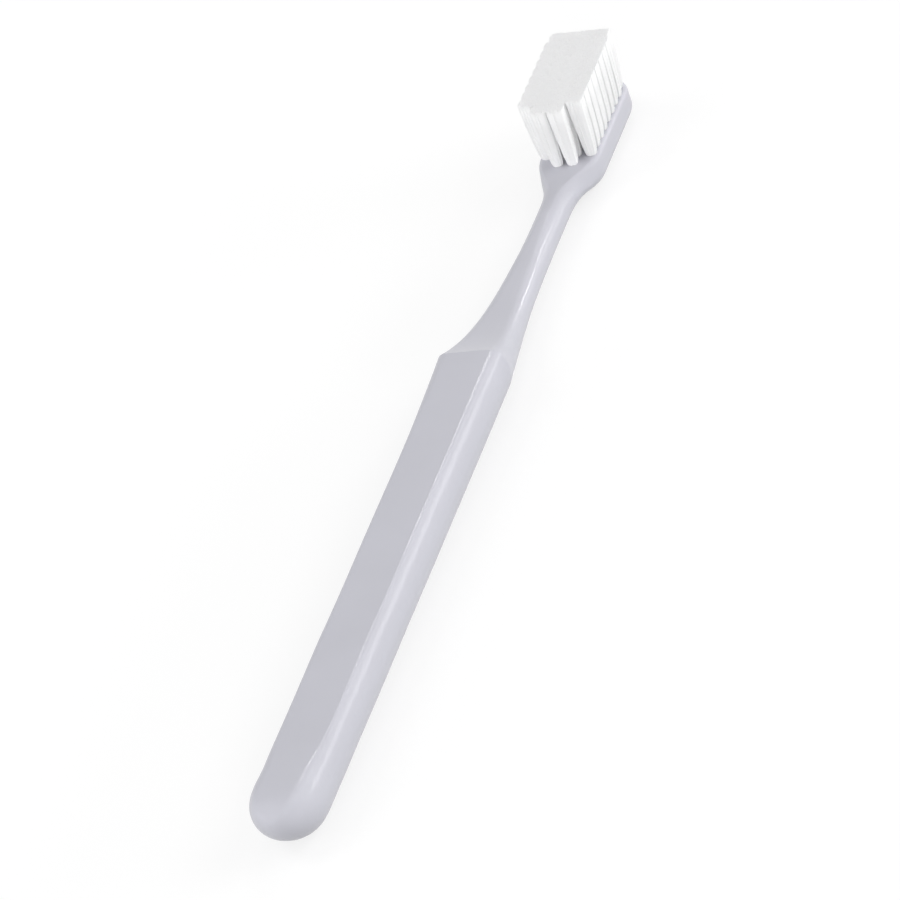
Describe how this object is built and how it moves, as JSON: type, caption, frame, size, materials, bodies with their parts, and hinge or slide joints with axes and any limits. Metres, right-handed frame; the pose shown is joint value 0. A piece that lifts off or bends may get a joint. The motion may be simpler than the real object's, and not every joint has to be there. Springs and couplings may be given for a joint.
{
  "type": "manual toothbrush",
  "caption": "Straight manual toothbrush with a round, flat-fronted grip, a slim offset neck flared into it, and a compact rounded head set with straight-trimmed tufts of nylon filament.",
  "frame": {"origin": "middle of the bounding box's underside: the brush lies on the flat of its back with the bristles up", "axes": "+X along the brush from tail to head, +Y across its width, +Z the way the bristles point"},
  "size_m": [0.1802, 0.0114, 0.0158],
  "materials": {
    "handle_plastic": "satin, pale lavender grey",
    "bristle_nylon": "white, slightly translucent filament",
    "anchor_metal": "plain stamped strip"
  },
  "bodies": {
    "root": {"anchors_row_01": "anchor_metal", "anchors_row_02": "anchor_metal", "anchors_row_03": "anchor_metal", "anchors_row_04": "anchor_metal", "anchors_row_05": "anchor_metal", "anchors_row_06": "anchor_metal", "anchors_row_07": "anchor_metal", "anchors_row_08": "anchor_metal", "anchors_row_09": "anchor_metal", "anchors_row_10": "anchor_metal", "handle": "handle_plastic", "tuft_01_1": "bristle_nylon", "tuft_01_2": "bristle_nylon", "tuft_02_1": "bristle_nylon", "tuft_02_2": "bristle_nylon", "tuft_02_3": "bristle_nylon", "tuft_02_4": "bristle_nylon", "tuft_03_1": "bristle_nylon", "tuft_03_2": "bristle_nylon", "tuft_03_3": "bristle_nylon", "tuft_03_4": "bristle_nylon", "tuft_04_1": "bristle_nylon", "tuft_04_2": "bristle_nylon", "tuft_04_3": "bristle_nylon", "tuft_04_4": "bristle_nylon", "tuft_05_1": "bristle_nylon", "tuft_05_2": "bristle_nylon", "tuft_05_3": "bristle_nylon", "tuft_05_4": "bristle_nylon", "tuft_06_1": "bristle_nylon", "tuft_06_2": "bristle_nylon", "tuft_06_3": "bristle_nylon", "tuft_06_4": "bristle_nylon", "tuft_07_1": "bristle_nylon", "tuft_07_2": "bristle_nylon", "tuft_07_3": "bristle_nylon", "tuft_07_4": "bristle_nylon", "tuft_08_1": "bristle_nylon", "tuft_08_2": "bristle_nylon", "tuft_08_3": "bristle_nylon", "tuft_08_4": "bristle_nylon", "tuft_09_1": "bristle_nylon", "tuft_09_2": "bristle_nylon", "tuft_09_3": "bristle_nylon", "tuft_09_4": "bristle_nylon", "tuft_10_1": "bristle_nylon", "tuft_10_2": "bristle_nylon", "tuft_10_3": "bristle_nylon", "tuft_10_4": "bristle_nylon"}
  },
  "joints": []
}
